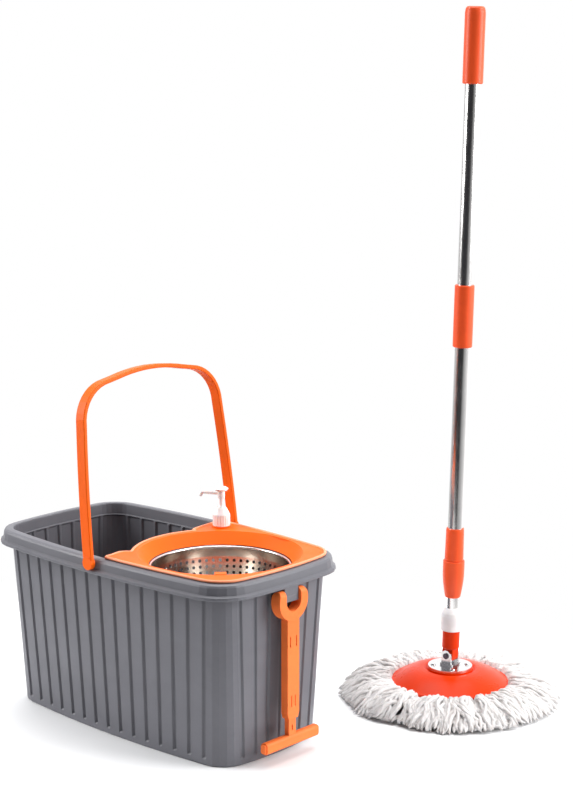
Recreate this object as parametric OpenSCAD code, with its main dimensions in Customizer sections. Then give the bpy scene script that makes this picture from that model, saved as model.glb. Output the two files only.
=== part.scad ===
// Spin mop: a two-compartment bucket with a spinning wringer basket, a soap pump,
// a carrying bail, a pull handle, and a spin mop standing beside it.
// Millimetres. The origin is the middle of the bucket's underside, +X towards the
// pull handle, -Y towards the front wall, +Z up.

/* [Bucket] */
// Length of the lip outline before its sides bow out
lip_l = 482; // [440:1:520]
// Width of the lip outline before its sides bow out
lip_w = 248; // [230:1:270]
// Corner radius of the lip outline
lip_r = 42; // [34:1:55]
// How far the ends bow out at the middle
bow_x = 10; // [4:1:14]
// How far the long sides bow out at the middle
bow_y = 16.6; // [8:0.2:20]
// Height of the rim above the floor
rim_z = 264; // [240:1:290]
// Length of the base outline before its sides bow out
base_l = 429; // [390:1:440]
// Width of the base outline before its sides bow out
base_w = 194; // [175:1:205]
// Corner radius of the base outline
base_r = 29; // [24:1:36]
// Thickness of the bucket wall
wall_t = 2.5; // [2:0.1:3.5]
// Depth of the grooves between the flutes
groove_d = 2.4; // [0.8:0.1:2.6]
// Width of the grooves between the flutes
groove_w = 7.5; // [3:0.5:8]
// Flutes along each long side
flutes_long = 14; // [8:1:18]
// Flutes along each end
flutes_end = 6; // [3:1:8]

/* [Bail] */
// Height of the bail above its pivots
bail_h = 259; // [255:1:275]
// Width of the bail strap
bail_w = 18; // [12:1:20]
// Thickness of the bail strap
bail_t = 6; // [4:0.1:6.4]
// Forward lean of the bail at rest, in degrees
bail_lean = 6.5; // [0:0.5:8]

/* [Wringer] */
// Distance of the basket axis from the middle of the bucket
basket_x = 115; // [110:1:120]
// Radius of the opening in the insert
opening_r = 100; // [96:1:101]
// Outer radius of the basket's rolled rim
basket_r = 101; // [98:0.5:102]
// Depth of the basket
basket_depth = 88; // [80:1:95]

/* [Soap pump] */
// Distance of the pump from the long centre line
pump_y = 102; // [100:1:103]
// Stroke of the pump head
pump_stroke = 12; // [8:1:14]

/* [Pull handle] */
// Height of the pull handle's pin
pull_pin_z = 232; // [228:1:233]
// Width of the pull handle's grip bar
pull_bar_w = 103; // [90:1:130]
// How far the grip bar pulls out of its sleeve
pull_travel = 60; // [30:1:70]

/* [Mop] */
// Position of the mop along the bucket's length
mop_x = 257; // [250:1:300]
// Position of the mop behind the bucket's centre line
mop_y = 344; // [340:1:380]
// Sideways lean of the pole, in degrees
mop_lean = 1.5; // [0:0.5:4]
// Length of the pole above the tilt pin
pole_len = 951; // [900:1:1100]
// Outer radius of the steel pole tubes
tube_r = 11; // [10.5:0.1:11.2]
// Radius of the orange mop disc
disc_r = 87.5; // [80:0.5:95]
// Radius of the spread of strands
strand_r = 176; // [150:1:190]
// Upward stroke of the pole on its drive
pole_stroke = 120; // [60:1:140]

/* [Hidden] */
$fn = 96;

grey = [0.44, 0.45, 0.48];
orange = [1.0, 0.42, 0.10];
red_orange = [0.95, 0.28, 0.12];
steel = [0.78, 0.78, 0.78];
white = [0.95, 0.95, 0.94];

skirt_h = 21;               // from the lip's lower edge to the rim's top
lip_z = rim_z - skirt_h;    // lower edge of the lip
wall_in = 16.8;             // wall's outer face, inwards from the lip
ridge_in = 18.4;            // rim's inner edge, inwards from the lip
floor_t = 3.5;              // bucket floor
corner_steps = 5;

// ---------- outlines ----------
// A rounded rectangle whose sides bow out, with a groove between each two flutes
function bow(x, y, l, w, bx, by) = [
    x + sign(x) * bx * (1 - pow(2 * y / w, 2)) * pow(min(abs(x) / (l / 2), 1), 2),
    y + sign(y) * by * (1 - pow(2 * x / l, 2)) * pow(min(abs(y) / (w / 2), 1), 2)
];
function groove_steps(n, len, depth) = [
    for (k = [0 : n])
        for (q = [[-0.5, 0], [-0.22, 1], [0.22, 1], [0.5, 0]])
            [(k / n - 0.5) * (len - groove_w) + q[0] * groove_w, q[1] * depth]
];
function side(n, len, off, a, depth) = [
    for (s = groove_steps(n, len, depth))
        [s[0] * cos(a) + (off - s[1]) * sin(a), s[0] * sin(a) - (off - s[1]) * cos(a)]
];
function corner(cx, cy, r, a) = [
    for (k = [1 : corner_steps - 1])
        [cx + r * cos(a + 90 * k / corner_steps), cy + r * sin(a + 90 * k / corner_steps)]
];
function plain_loop(l, w, r, depth) = concat(
    side(flutes_long, l - 2 * r, w / 2, 0, depth),
    corner(l / 2 - r, r - w / 2, r, -90),
    side(flutes_end, w - 2 * r, l / 2, 90, depth),
    corner(l / 2 - r, w / 2 - r, r, 0),
    side(flutes_long, l - 2 * r, w / 2, 180, depth),
    corner(r - l / 2, w / 2 - r, r, 90),
    side(flutes_end, w - 2 * r, l / 2, 270, depth),
    corner(r - l / 2, r - w / 2, r, 180)
);
function loop_at(l, w, r, bx, by, depth) = [
    for (p = plain_loop(l, w, r, depth)) bow(p[0], p[1], l, w, bx, by)
];
// Outline of the lip moved inwards by d
function lip_loop(d) = loop_at(lip_l - 2 * d, lip_w - 2 * d, max(lip_r - d, 8), bow_x, bow_y, 0);
// Outline of the wall's outer face at height z, moved inwards by d
function mixed(z, top, bottom) = bottom + (top - bottom) * z / lip_z;
function wall_loop(z, d, depth) = loop_at(
    mixed(z, lip_l - 2 * wall_in, base_l) - 2 * d,
    mixed(z, lip_w - 2 * wall_in, base_w) - 2 * d,
    mixed(z, lip_r - wall_in, base_r) - d,
    bow_x, mixed(z, bow_y, bow_y - 2.8), depth
);
function lift(loop, z) = [for (p = loop) [p[0], p[1], z]];

module stack_of_loops(loops) {
    n = len(loops[0]);
    m = len(loops);
    polyhedron(
        points = [for (q = loops) each q],
        faces = concat(
            [[for (i = [0 : n - 1]) i]],
            [for (k = [0 : m - 2]) for (i = [0 : n - 1]) let (
                a = k * n + i,
                b = k * n + (i + 1) % n
            ) each [[a, a + n, b + n], [a, b + n, b]]],
            [[for (i = [n - 1 : -1 : 0]) (m - 1) * n + i]]
        ),
        convexity = 6
    );
}

// A tube swept along points, closed at both ends
function unit(v) = v / norm(v);
function heading(path, k) = unit(path[min(k + 1, len(path) - 1)] - path[max(k - 1, 0)]);
module swept_wire(path, r, sides, up) {
    rings = [for (k = [0 : len(path) - 1]) let (
        t = heading(path, k),
        a = unit(cross(t, up)),
        b = cross(t, a)
    ) [for (i = [0 : sides - 1]) path[k] + r * (cos(360 * i / sides) * a + sin(360 * i / sides) * b)]];
    stack_of_loops(rings);
}

module ring(outer_r, inner_r, h) {
    difference() {
        cylinder(r = outer_r, h = h);
        translate([0, 0, -1])
            cylinder(r = inner_r, h = h + 2);
    }
}

// ---------- bucket ----------
bail_z = rim_z - 6;
bail_pin_r = 4;
module bucket_shell()
    stack_of_loops([
        lift(wall_loop(0, 2, 0), 0),
        lift(wall_loop(2, 0, 0), 2),
        lift(wall_loop(9, 0, 0), 9),
        lift(wall_loop(12, 0, groove_d), 12),
        lift(wall_loop(lip_z - 1, 0, groove_d), lip_z - 1),
        lift(wall_loop(lip_z + 2, 0, 0), lip_z + 2),
        lift(lip_loop(wall_in), rim_z - 6),
        lift(lip_loop(8), rim_z - 6),
        lift(lip_loop(2.6), lip_z),
        lift(lip_loop(0.5), lip_z),
        lift(lip_loop(0), lip_z + 1.3),
        lift(lip_loop(0.2), lip_z + 4.2),
        lift(lip_loop(3.9), lip_z + 6.4),
        lift(lip_loop(5), rim_z - 4.4),
        lift(lip_loop(6.6), rim_z - 1.8),
        lift(lip_loop(9.6), rim_z - 0.5),
        lift(lip_loop(15.5), rim_z),
        lift(lip_loop(17.7), rim_z - 0.5),
        lift(lip_loop(ridge_in), rim_z - 1.8),
        lift(lip_loop(wall_in + wall_t), rim_z - 17),
        lift(lip_loop(wall_in + wall_t + groove_d), rim_z - 17.8),
        lift(wall_loop(lip_z, wall_t, groove_d), lip_z),
        lift(wall_loop(16, wall_t, groove_d), 16),
        lift(wall_loop(12, wall_t + 0.6, 0), 12),
        lift(wall_loop(6, wall_t + 2, 0), 6),
        lift(wall_loop(floor_t, wall_t + 6, 0), floor_t)
    ]);
// Lug under the lip that the pull handle hangs from
module pull_lug() {
    translate([end_x - wall_in - 1.4, -17, lip_z - 32])
        cube([3.8, 34, 31]);
    translate([end_x - wall_in - 1.4, -lug_w / 2, pull_pin_z - 9])
        cube([wall_in + 0.8, lug_w, lip_z + 2 - pull_pin_z + 9]);
}
module bucket() color(grey) difference() {
    union() {
        bucket_shell();
        pull_lug();
    }
    for (s = [-1, 1])
        translate([0, s * (lip_w / 2 + bow_y - 16), bail_z])
            rotate([90, 0, 0])
                cylinder(r = bail_pin_r + 0.08, h = 40, center = true);
    at_pull()
        rotate([90, 0, 0])
            cylinder(r = pull_pin_r + 0.05, h = 60, center = true);
}

// ---------- bail ----------
bail_foot_y = lip_w / 2 + bow_y - 1.6;   // inner face of the strap at its pivot
bail_pad = 0.6;                          // how far each pad stands proud of the strap
bail_pin_in = 17.2;                      // reach of each pin inwards from the strap
bail_bore = bail_t - 1.6;                // depth of the blind hole that each pin sits in
bail_taper = 1.1;                        // degrees that each leg leans in at its foot
bail_curve = 0.00019;                    // how much more it leans in towards the top
bail_crown = 10;                         // rise of the top bar at its middle
bail_bend_r = 56;
// Centre line of half the bail as [y, z] above the pivots
bail_shoulder_z = bail_h - bail_t / 2 - bail_crown;
function bail_leg_y(z) = bail_foot_y + bail_t / 2 - z * tan(bail_taper) - bail_curve * z * z;
bail_top_y = bail_leg_y(bail_shoulder_z - bail_bend_r);
bail_bend_y = bail_top_y - bail_bend_r;
function bail_leg() = [
    for (k = [0 : 6])
        let (z = k / 6 * (bail_shoulder_z - bail_bend_r))
            [bail_leg_y(z), z]
];
function bail_bend() = [
    for (k = [1 : 9])
        let (a = 8.4 * k)
            [bail_bend_y + bail_bend_r * cos(a), bail_shoulder_z - bail_bend_r + bail_bend_r * sin(a)]
];
function bail_bar() = [
    for (k = [5 : -1 : 1])
        let (f = k / 6)
            [bail_bend_y * f, bail_shoulder_z + bail_crown * (1 - f * f)]
];
function mirrored(half) = [for (k = [len(half) - 1 : -1 : 0]) [-half[k][0], half[k][1]]];
bail_half = concat(bail_leg(), bail_bend(), bail_bar());
bail_line = concat(bail_half, [[0, bail_shoulder_z + bail_crown]], mirrored(bail_half));
bail_path = [for (p = bail_line) [0, p[0], p[1]]];
// Rounded rectangle section of the strap: width along X, thickness across the path
strap_edge = 1.6;
function strap_section() = [
    for (q = [[1, 1], [-1, 1], [-1, -1], [1, -1]])
        for (k = [0 : 3])
            let (a = atan2(q[1], q[0]) - 45 + 30 * k)
                [q[0] * (bail_w / 2 - strap_edge) + strap_edge * cos(a),
                 q[1] * (bail_t / 2 - strap_edge) + strap_edge * sin(a)]
];
module bail_strap() {
    rings = [for (k = [0 : len(bail_path) - 1]) let (
        t = heading(bail_path, k),
        n = cross(t, [1, 0, 0])
    ) [for (q = strap_section()) bail_path[k] + q[0] * [1, 0, 0] + q[1] * n]];
    stack_of_loops(rings);
}
module at_bail() translate([0, 0, bail_z]) rotate([0, -bail_lean, 0]) children();
module bail_handle() color(orange) at_bail() difference() {
    union() {
        bail_strap();
        for (s = [-1, 1])
            translate([0, s * (bail_foot_y + bail_t / 2), 0])
                rotate([90, 0, 0])
                    cylinder(r = bail_w / 2 + 0.4, h = bail_t + 2 * bail_pad, center = true);
    }
    for (s = [-1, 1])
        translate([0, s * bail_foot_y, 0])
            rotate([-s * 90, 0, 0])
                translate([0, 0, -10])
                    cylinder(r = bail_pin_r, h = 10 + bail_bore);
}
module bail_pins() color(grey) at_bail()
    for (s = [-1, 1])
        translate([0, s * bail_foot_y, 0])
            rotate([-s * 90, 0, 0])
                translate([0, 0, -bail_pin_in])
                    cylinder(r = bail_pin_r, h = bail_pin_in + bail_bore - 0.1);

// ---------- insert ----------
deck_z = rim_z + 0.2;       // underside of the deck
deck_t = 2.6;
deck_top = deck_z + deck_t;
deck_in = 14.5;             // deck's edge, inwards from the lip
deck_left_r = 124;          // radius of the deck's free edge round the basket
funnel_r = 115.5;            // radius of the funnel round the opening, at the top
funnel_h = 14;              // how far it goes down below the deck
bottle_x = 16;              // pump axis
neck_r = 10;
front_arm = [[70, -60], [30, -76], [21, -85], [14.5, -91], [12, -97], [13, -104], [15, -112],
             [15, -160], [70, -160]];
rear_arm = [[70, 60], [-2, 60], [-5, 76], [-7, 93], [-8, 100], [-8, 160], [70, 160]];
module deck_outline(d) {
    intersection() {
        polygon(lip_loop(d));
        union() {
            intersection() {
                translate([basket_x, 0])
                    circle(r = deck_left_r);
                translate([-100, -84])
                    square([300, 284]);
            }
            translate([basket_x - 60, -200])
                square([300, 400]);
            polygon(front_arm);
            polygon(rear_arm);
        }
    }
}
module funnel(grow, d, h) intersection() {
    translate([basket_x, 0, deck_z - funnel_h])
        cylinder(r1 = opening_r + grow, r2 = funnel_r + grow, h = h);
    translate([0, 0, deck_z - funnel_h - 1])
        linear_extrude(h + 2)
            deck_outline(d);
}
module thumb_block(reach) translate([basket_x, 0, 0]) rotate([0, 0, -45])
    translate([opening_r + 3, -8, deck_z - 9])
        cube([reach, 16, deck_t + 9.6]);
module insert_deck() color(orange) difference() {
    union() {
        translate([0, 0, deck_z])
            linear_extrude(deck_t)
                deck_outline(deck_in);
        translate([0, 0, deck_z - 14])
            linear_extrude(14.5)
                difference() {
                    deck_outline(wall_in + wall_t + 1);
                    deck_outline(wall_in + wall_t + 3.2);
                }
        translate([bottle_x, pump_y, deck_top - 0.5])
            cylinder(r = 14.6, h = 2.5);
        funnel(2.2, wall_in + wall_t + 1, funnel_h + 1);
        thumb_block(12);
    }
    difference() {
        funnel(0, wall_in + wall_t + 3.2, funnel_h + deck_t + 0.02);
        thumb_block(12);
    }
    translate([basket_x, 0, deck_z - 20])
        cylinder(r = opening_r, h = 40);
    translate([bottle_x, pump_y, deck_z - 20])
        cylinder(r = neck_r + 0.4, h = 40);
}

// ---------- basket ----------
basket_top = deck_z - funnel_h - 1.5;
basket_floor = basket_top - basket_depth;
steel_t = 0.9;
module at_basket() translate([basket_x, 0, 0]) children();
module bowl_profile(grow) {
    bottom_r = basket_r - 15;
    bend = 12;
    polygon(concat(
        [[0, -grow]],
        [for (k = [0 : 6])
            [bottom_r - bend + (bend + grow) * sin(15 * k), bend - (bend + grow) * cos(15 * k)]],
        [[basket_r - 2 + grow, basket_depth - 14], [basket_r - 2 + grow, basket_depth + 1],
         [0, basket_depth + 1]]
    ));
}
module basket_bowl() color(steel) at_basket() translate([0, 0, basket_floor]) {
    difference() {
        rotate_extrude()
            union() {
                difference() {
                    bowl_profile(0);
                    translate([0, basket_depth])
                        square([200, 5]);
                }
                translate([basket_r - 2.2, basket_depth - 1.2])
                    circle(r = 2.0, $fn = 24);
            }
        rotate_extrude()
            bowl_profile(-steel_t);
        cylinder(r = 24, h = 10, center = true);
        for (a = [0 : 30 : 359])
            rotate([0, 0, a])
                translate([62, 0, -5])
                    cylinder(r = 3, h = 10);
        for (a = [0 : 90 : 359])
            rotate([0, 0, a + 45])
                translate([38, 0, -5])
                    cylinder(r = 2.1, h = 10);
    }
}
hub_z = basket_floor - 0.1;
spindle_r = 5;
bush_r = 8;
wring_post_r = 11.8;
module basket_hub() color(white) at_basket() difference() {
    union() {
        translate([0, 0, hub_z - 5])
            cylinder(r = 48, h = 5);
        translate([0, 0, hub_z - 16])
            cylinder(r = 17, h = 16);
        translate([0, 0, hub_z - 1])
            cylinder(r = 23.6, h = 8);
        translate([0, 0, hub_z + 7])
            cylinder(r1 = 22, r2 = wring_post_r, h = 4);
        translate([0, 0, hub_z + 10.9])
            cylinder(r = wring_post_r, h = 13);
        translate([0, 0, hub_z + 23.8])
            cylinder(r1 = wring_post_r, r2 = wring_post_r - 3, h = 3);
        for (a = [0 : 45 : 359])
            rotate([0, 0, a])
                translate([16, -1.2, hub_z - 13])
                    cube([30, 2.4, 9]);
    }
    translate([0, 0, hub_z - 20])
        cylinder(r = bush_r, h = 32);
    for (a = [0 : 90 : 359])
        rotate([0, 0, a + 45])
            translate([38, 0, hub_z - 8])
                cylinder(r = 2, h = 12);
}
module basket_screws() color(steel) at_basket()
    for (a = [0 : 90 : 359])
        rotate([0, 0, a + 45])
            translate([38, 0, hub_z - 4.9]) {
                cylinder(r = 2, h = 6);
                translate([0, 0, 1.05 + 4.9])
                    cylinder(r = 3.8, h = 1.6);
            }
module spindle_bush() color(white) at_basket() translate([0, 0, hub_z - 16])
    difference() {
        cylinder(r = bush_r, h = 28);
        translate([0, 0, -1])
            cylinder(r = spindle_r + 0.05, h = 25);
    }
module spindle_pin() color(steel) at_basket() {
    translate([0, 0, hub_z - 46])
        cylinder(r = spindle_r, h = 52);
    translate([0, 0, hub_z + 6])
        cylinder(r1 = spindle_r, r2 = 1.5, h = 1.9);
}
post_top = hub_z - 18;
module spindle_post() color(grey) at_basket() difference() {
    union() {
        translate([0, 0, floor_t])
            cylinder(r1 = 46, r2 = 20, h = 40);
        translate([0, 0, floor_t + 39])
            cylinder(r1 = 20.6, r2 = 11, h = post_top - floor_t - 39);
    }
    translate([0, 0, hub_z - 46])
        cylinder(r = spindle_r, h = 60);
    translate([0, 0, floor_t - 1])
        cylinder(r1 = 41, r2 = 15, h = 41);
}

// ---------- soap pump ----------
tank_l = 50;
tank_w = 26;
tank_h = 118;
tank_top = deck_z - 2.2;
tank_y = 99;
barrel_r = 7;
stem_r = 3.2;
collar_top = deck_top + 30;
module rounded_slab(l, w, h, r) {
    translate([-l / 2 + r, -w / 2, 0])
        cube([l - 2 * r, w, h]);
    translate([-l / 2, -w / 2 + r, 0])
        cube([l, w - 2 * r, h]);
    for (x = [-1, 1])
        for (y = [-1, 1])
            translate([x * (l / 2 - r), y * (w / 2 - r), 0])
                cylinder(r = r, h = h);
}
module at_pump() translate([bottle_x, pump_y, 0]) children();
module soap_tank() color(white) difference() {
    union() {
        translate([bottle_x, tank_y, tank_top - tank_h])
            rounded_slab(tank_l, tank_w, tank_h, 8);
        at_pump()
            translate([0, 0, tank_top - 1])
                cylinder(r = neck_r, h = 16);
    }
    translate([bottle_x, tank_y, tank_top - tank_h + 1.6])
        rounded_slab(tank_l - 3.2, tank_w - 3.2, tank_h - 3.2, 6.4);
    at_pump()
        translate([0, 0, tank_top - 3])
            cylinder(r = neck_r - 1.6, h = 30);
}
module pump_collar() color(white) at_pump() difference() {
    union() {
        translate([0, 0, deck_top + 2.2])
            cylinder(r = neck_r + 2.4, h = 17);
        translate([0, 0, deck_top + 19])
            cylinder(r1 = neck_r + 2.4, r2 = 8.4, h = 8);
        translate([0, 0, deck_top + 26.9])
            cylinder(r1 = 8.4, r2 = 6.3, h = 3.1);
        for (a = [0 : 15 : 359])
            rotate([0, 0, a])
                translate([neck_r + 2.2, 0, deck_top + 2.2])
                    cylinder(r = 0.6, h = 16, $fn = 16);
    }
    translate([0, 0, deck_top - 2])
        cylinder(r = neck_r + 0.1, h = 14.2);
    translate([0, 0, deck_top])
        cylinder(r = stem_r + 0.1, h = 40);
}
module pump_barrel() color(white) at_pump() difference() {
    union() {
        translate([0, 0, tank_top - 60])
            cylinder(r = barrel_r, h = 60 + 16.5);
        translate([0, 0, tank_top + 15.1])
            cylinder(r = neck_r, h = 1.6);
        translate([0, 0, tank_top - 66])
            cylinder(r = 4, h = 7);
    }
    translate([0, 0, tank_top - 58])
        cylinder(r = barrel_r - 1.4, h = 90);
    translate([0, 0, tank_top - 70])
        cylinder(r = 2, h = 20);
}
head_bottom = collar_top + pump_stroke + 1;
nozzle_len = 45;
nozzle_z = head_bottom + 9;
nozzle_fall = 8;            // degrees that the nozzle slopes down
module pump_head() color(white) at_pump() {
    difference() {
        union() {
            translate([0, 0, head_bottom])
                cylinder(r = 5.2, h = 12);
            translate([0, 0, head_bottom + 11.5])
                cylinder(r1 = 8.5, r2 = 10.5, h = 2.6);
            translate([0, 0, head_bottom + 14])
                cylinder(r1 = 10.5, r2 = 8, h = 2.2);
            translate([0, 0, nozzle_z])
                rotate([0, -90 - nozzle_fall, 0])
                    cylinder(r1 = 4.6, r2 = 3, h = nozzle_len - 5);
            translate([-(nozzle_len - 6) * cos(nozzle_fall), 0,
                       nozzle_z - (nozzle_len - 6) * sin(nozzle_fall)])
                rotate([0, -145, 0])
                    cylinder(r1 = 3.1, r2 = 2.5, h = 8);
        }
        translate([0, 0, head_bottom - 1])
            cylinder(r = stem_r + 0.05, h = 9);
    }
}
module pump_piston() color(white) at_pump() {
    translate([0, 0, tank_top - 22])
        cylinder(r = stem_r, h = head_bottom + 7.9 - tank_top + 22);
    translate([0, 0, tank_top - 22])
        cylinder(r = barrel_r - 1.46, h = 4);
}
spring_turns = 7;
spring_r = 4.2;
module pump_spring() color(steel) at_pump()
    swept_wire(
        [for (k = [0 : spring_turns * 12])
            [spring_r * cos(30 * k), spring_r * sin(30 * k),
             tank_top - 56.6 + 33.4 * k / (spring_turns * 12)]],
        0.6, 6, [0, 0, 1]
    );
module pump_ball() color(steel) at_pump() translate([0, 0, tank_top - 56])
    sphere(r = 2.6);
module dip_tube() color(white) at_pump() translate([0, 0, tank_top - tank_h + 5])
    ring(1.9, 1.1, tank_h - 5 - 60);

// ---------- pull handle ----------
end_x = lip_l / 2 + bow_x;              // lip at the middle of the end
pull_x = end_x - 4;                     // pin axis
pull_pin_r = 3;
lug_w = 27;
horn_gap = 29;                          // between the yoke's horns
yoke_r = 28;                            // outer radius of the yoke
yoke_z = -7;                            // yoke's centre, from the pin
horn_r = 8.2;                           // horns' rounding about the pin
sleeve_w = 23;
sleeve_d = 12;
sleeve_in = -5;                         // back of the sleeve, from the pin axis
sleeve_top = pull_pin_z - 20;
sleeve_bottom = 58;
bar_z = 26.5;
bar_h = 16;
module at_pull() translate([pull_x, 0, pull_pin_z]) children();
module pull_pin() color(steel) at_pull() rotate([90, 0, 0])
    cylinder(r = pull_pin_r, h = 48, center = true);
// Outline of the yoke and sleeve seen from the end: y across, z up from the pin
module yoke_outline() {
    difference() {
        translate([0, yoke_z])
            circle(r = yoke_r);
        translate([0, yoke_z])
            circle(r = horn_gap / 2);
        translate([-horn_gap / 2, yoke_z])
            square([horn_gap, 60]);
    }
}
module yoke_slab() rotate([90, 0, 90]) linear_extrude(2 * horn_r - 0.2) yoke_outline();
module yoke() {
    difference() {
        translate([0.1 - horn_r, 0, 0])
            yoke_slab();
        translate([-30, -60, 0])
            cube([60, 120, 60]);
    }
    intersection() {
        translate([0.1 - horn_r, 0, 0])
            yoke_slab();
        translate([-30, -60, -2])
            cube([60, 120, 62]);
        rotate([90, 0, 0])
            cylinder(r = horn_r, h = 100, center = true);
    }
}
module pull_sleeve() color(orange) at_pull() difference() {
    union() {
        yoke();
        translate([sleeve_in, -sleeve_w / 2, sleeve_bottom + 8 - pull_pin_z])
            cube([sleeve_d, sleeve_w, sleeve_top - sleeve_bottom - 14]);
        translate([sleeve_in, 0, sleeve_bottom + 8 - pull_pin_z])
            rotate([90, 0, 90])
                linear_extrude(sleeve_d)
                    polygon([[-sleeve_w / 2, 0.5], [sleeve_w / 2, 0.5], [9, -8], [-9, -8]]);
    }
    rotate([90, 0, 0])
        cylinder(r = pull_pin_r + 0.04, h = 48.4, center = true);
    translate([sleeve_in + 1.9, -7.2, sleeve_bottom - 1 - pull_pin_z])
        cube([8.2, 14.4, sleeve_top - sleeve_bottom - 26]);
    for (s = [-1, 1])
        translate([sleeve_in + 6, s * 6 - 0.9, 160 - pull_pin_z])
            cube([10, 1.8, 15]);
    for (s = [-1, 1])
        translate([sleeve_in + 6, s * 3.6 - 0.7, 75 - pull_pin_z])
            cube([10, 1.4, 16]);
}
module pull_bar() color(orange) translate([pull_x + sleeve_in, 0, bar_z]) difference() {
    union() {
        translate([2.1, -7, 0])
            cube([7.8, 14, sleeve_bottom + pull_travel + 22 - bar_z]);
        translate([6, pull_bar_w / 2, 0])
            rotate([90, 0, 0])
                rounded_slab(11.6, bar_h, pull_bar_w, 4);
        translate([6, pull_bar_w / 2 + 2.4, 0])
            rotate([90, 0, 0])
                rounded_slab(8.6, bar_h - 3, pull_bar_w + 4.8, 3);
    }
    translate([-5, -1, 14])
        cube([20, 2, 8]);
}

// ---------- mop ----------
pin_z = 65;
plate_z = 46;
plate_t = 3.5;
disc_z = 22;
tilt_r = 3;
collar_s = 40;
tube_in_r = 9.6;
fit = 0.02;                 // clearance of a tube in a sleeve that is fixed to it
module at_mop() translate([mop_x, mop_y, 0]) children();
module at_neck() translate([mop_x, mop_y, pin_z]) rotate([0, mop_lean, 0]) children();

module mop_strands() color(white) at_mop() rotate_extrude()
    polygon([[34, 3], [60, 0], [strand_r - 5, 0], [strand_r, 4], [strand_r - 3, 13],
             [strand_r - 14, 23], [strand_r - 45, 29], [disc_r + 14, 28.5], [disc_r + 4, 24],
             [disc_r - 2, 19.6], [70, 17], [34, 14]]);
module strand_ring() color(white) at_mop() translate([0, 0, 17.2])
    ring(66, 27, 4.2);
module mop_disc() color(red_orange) at_mop() difference() {
    rotate_extrude()
        polygon(concat(
            [[20, disc_z], [disc_r - 3, disc_z]],
            [for (k = [0 : 4]) [disc_r - 3 + 3 * cos(45 * k - 90), disc_z + 3 + 3 * sin(45 * k - 90)]],
            [for (k = [0 : 8]) let (f = k / 8)
                [disc_r - 4 - (disc_r - 44) * f, disc_z + 6.6 + 16.6 * (1 - pow(1 - f, 1.7))]],
            [[37.5, disc_z + 22.6], [35.5, disc_z + 20.8], [34.2, disc_z + 20.8], [34, disc_z + 23.8],
             [20, disc_z + 23.8]]
        ));
    translate([0, 0, disc_z - 1])
        rotate_extrude()
            polygon([[22, 0], [disc_r - 6, 0], [disc_r - 10, 7], [46, 20], [30, 21.5], [22, 21.5]]);
    for (a = [45 : 90 : 359])
        rotate([0, 0, a])
            translate([25.5, 0, disc_z])
                cylinder(r = 1.9, h = 30);
}
ear_y = 9;
ear_t = 3;
module swivel_plate() color(steel) at_mop() difference() {
    union() {
        translate([0, 0, plate_z])
            cylinder(r = 33, h = plate_t);
        translate([0, 0, plate_z - 18])
            ring(19.6, 12, 19);
        for (s = [-1, 1])
            translate([0, s * ear_y, 0]) {
                translate([0, 0, pin_z])
                    rotate([90, 0, 0])
                        cylinder(r = 8.6, h = ear_t, center = true);
                translate([-8.6, -ear_t / 2, plate_z + 1])
                    cube([17.2, ear_t, pin_z - plate_z - 1]);
                translate([-11, -ear_t / 2, plate_z + 1])
                    cube([22, ear_t, 6]);
            }
    }
    translate([0, 0, pin_z])
        rotate([90, 0, 0])
            cylinder(r = tilt_r + fit, h = 60, center = true);
    for (a = [45 : 90 : 359])
        rotate([0, 0, a])
            translate([25.5, 0, plate_z - 1])
                cylinder(r = 2, h = 30);
}
module plate_screws() color(steel) at_mop()
    for (a = [45 : 90 : 359])
        rotate([0, 0, a])
            translate([25.5, 0, disc_z + 14.8]) {
                cylinder(r = 1.85, h = 14);
                translate([0, 0, 12.8])
                    cylinder(r1 = 4, r2 = 3, h = 1.8);
            }
module tilt_pin() color(steel) at_mop() translate([0, 0, pin_z]) rotate([90, 0, 0]) {
    cylinder(r = tilt_r, h = 2 * ear_y + ear_t + 1, center = true);
    for (s = [-1, 1])
        translate([0, 0, s * (ear_y + ear_t / 2 + 0.9)])
            cylinder(r = 4.4, h = 1.4, center = true);
}
module mop_neck() color(red_orange) at_neck() difference() {
    union() {
        intersection() {
            rotate([90, 0, 0])
                cylinder(r = 9.4, h = 14.6, center = true);
            translate([-20, -20, -20])
                cube([40, 40, 24]);
        }
        translate([-9.4, -7.3, 0])
            cube([18.8, 14.6, 14]);
        translate([0, 0, 13])
            cylinder(r = 13, h = collar_s - 13.1);
        translate([0, 0, 10.6])
            cylinder(r1 = 11, r2 = 13, h = 2.5);
    }
    rotate([90, 0, 0])
        cylinder(r = tilt_r + 0.06, h = 40, center = true);
    translate([0, 0, 22])
        cylinder(r = tube_in_r + fit, h = 40);
}
module swivel_collar() color(white) at_neck() difference() {
    rotate_extrude()
        polygon([[0, collar_s], [16, collar_s], [16.5, collar_s + 1], [16.5, collar_s + 22],
                 [15.6, collar_s + 27], [13.6, collar_s + 31], [11.6, collar_s + 33.4],
                 [10, collar_s + 34.4], [0, collar_s + 34.4]]);
    translate([0, 0, collar_s - 1])
        cylinder(r = tube_in_r + fit, h = 60);
}
inner_top = 350 + pole_stroke;
module inner_tube() color(steel) at_neck() translate([0, 0, 22.1]) difference() {
    cylinder(r = tube_in_r, h = inner_top - 22.1);
    translate([0, 0, -1])
        cylinder(r = tube_in_r - 1, h = inner_top);
}
nut_len = 22;
rod_w = 8;
rod_t = 3;
rod_bottom = 80;
rod_top = 560;
twist_turns = 3;
module drive_nut() color(white) at_neck() translate([0, 0, inner_top - nut_len]) difference() {
    cylinder(r = tube_in_r - 1, h = nut_len);
    translate([0, 0, -1])
        cylinder(r = rod_w / 2 + 0.3, h = nut_len + 2);
}
rod_slices = 72;
function rod_section(a) = [
    for (q = [[-1, -1], [1, -1], [1, 1], [-1, 1]])
        let (x = q[0] * rod_w / 2, y = q[1] * rod_t / 2)
            [x * cos(a) - y * sin(a), x * sin(a) + y * cos(a)]
];
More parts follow.
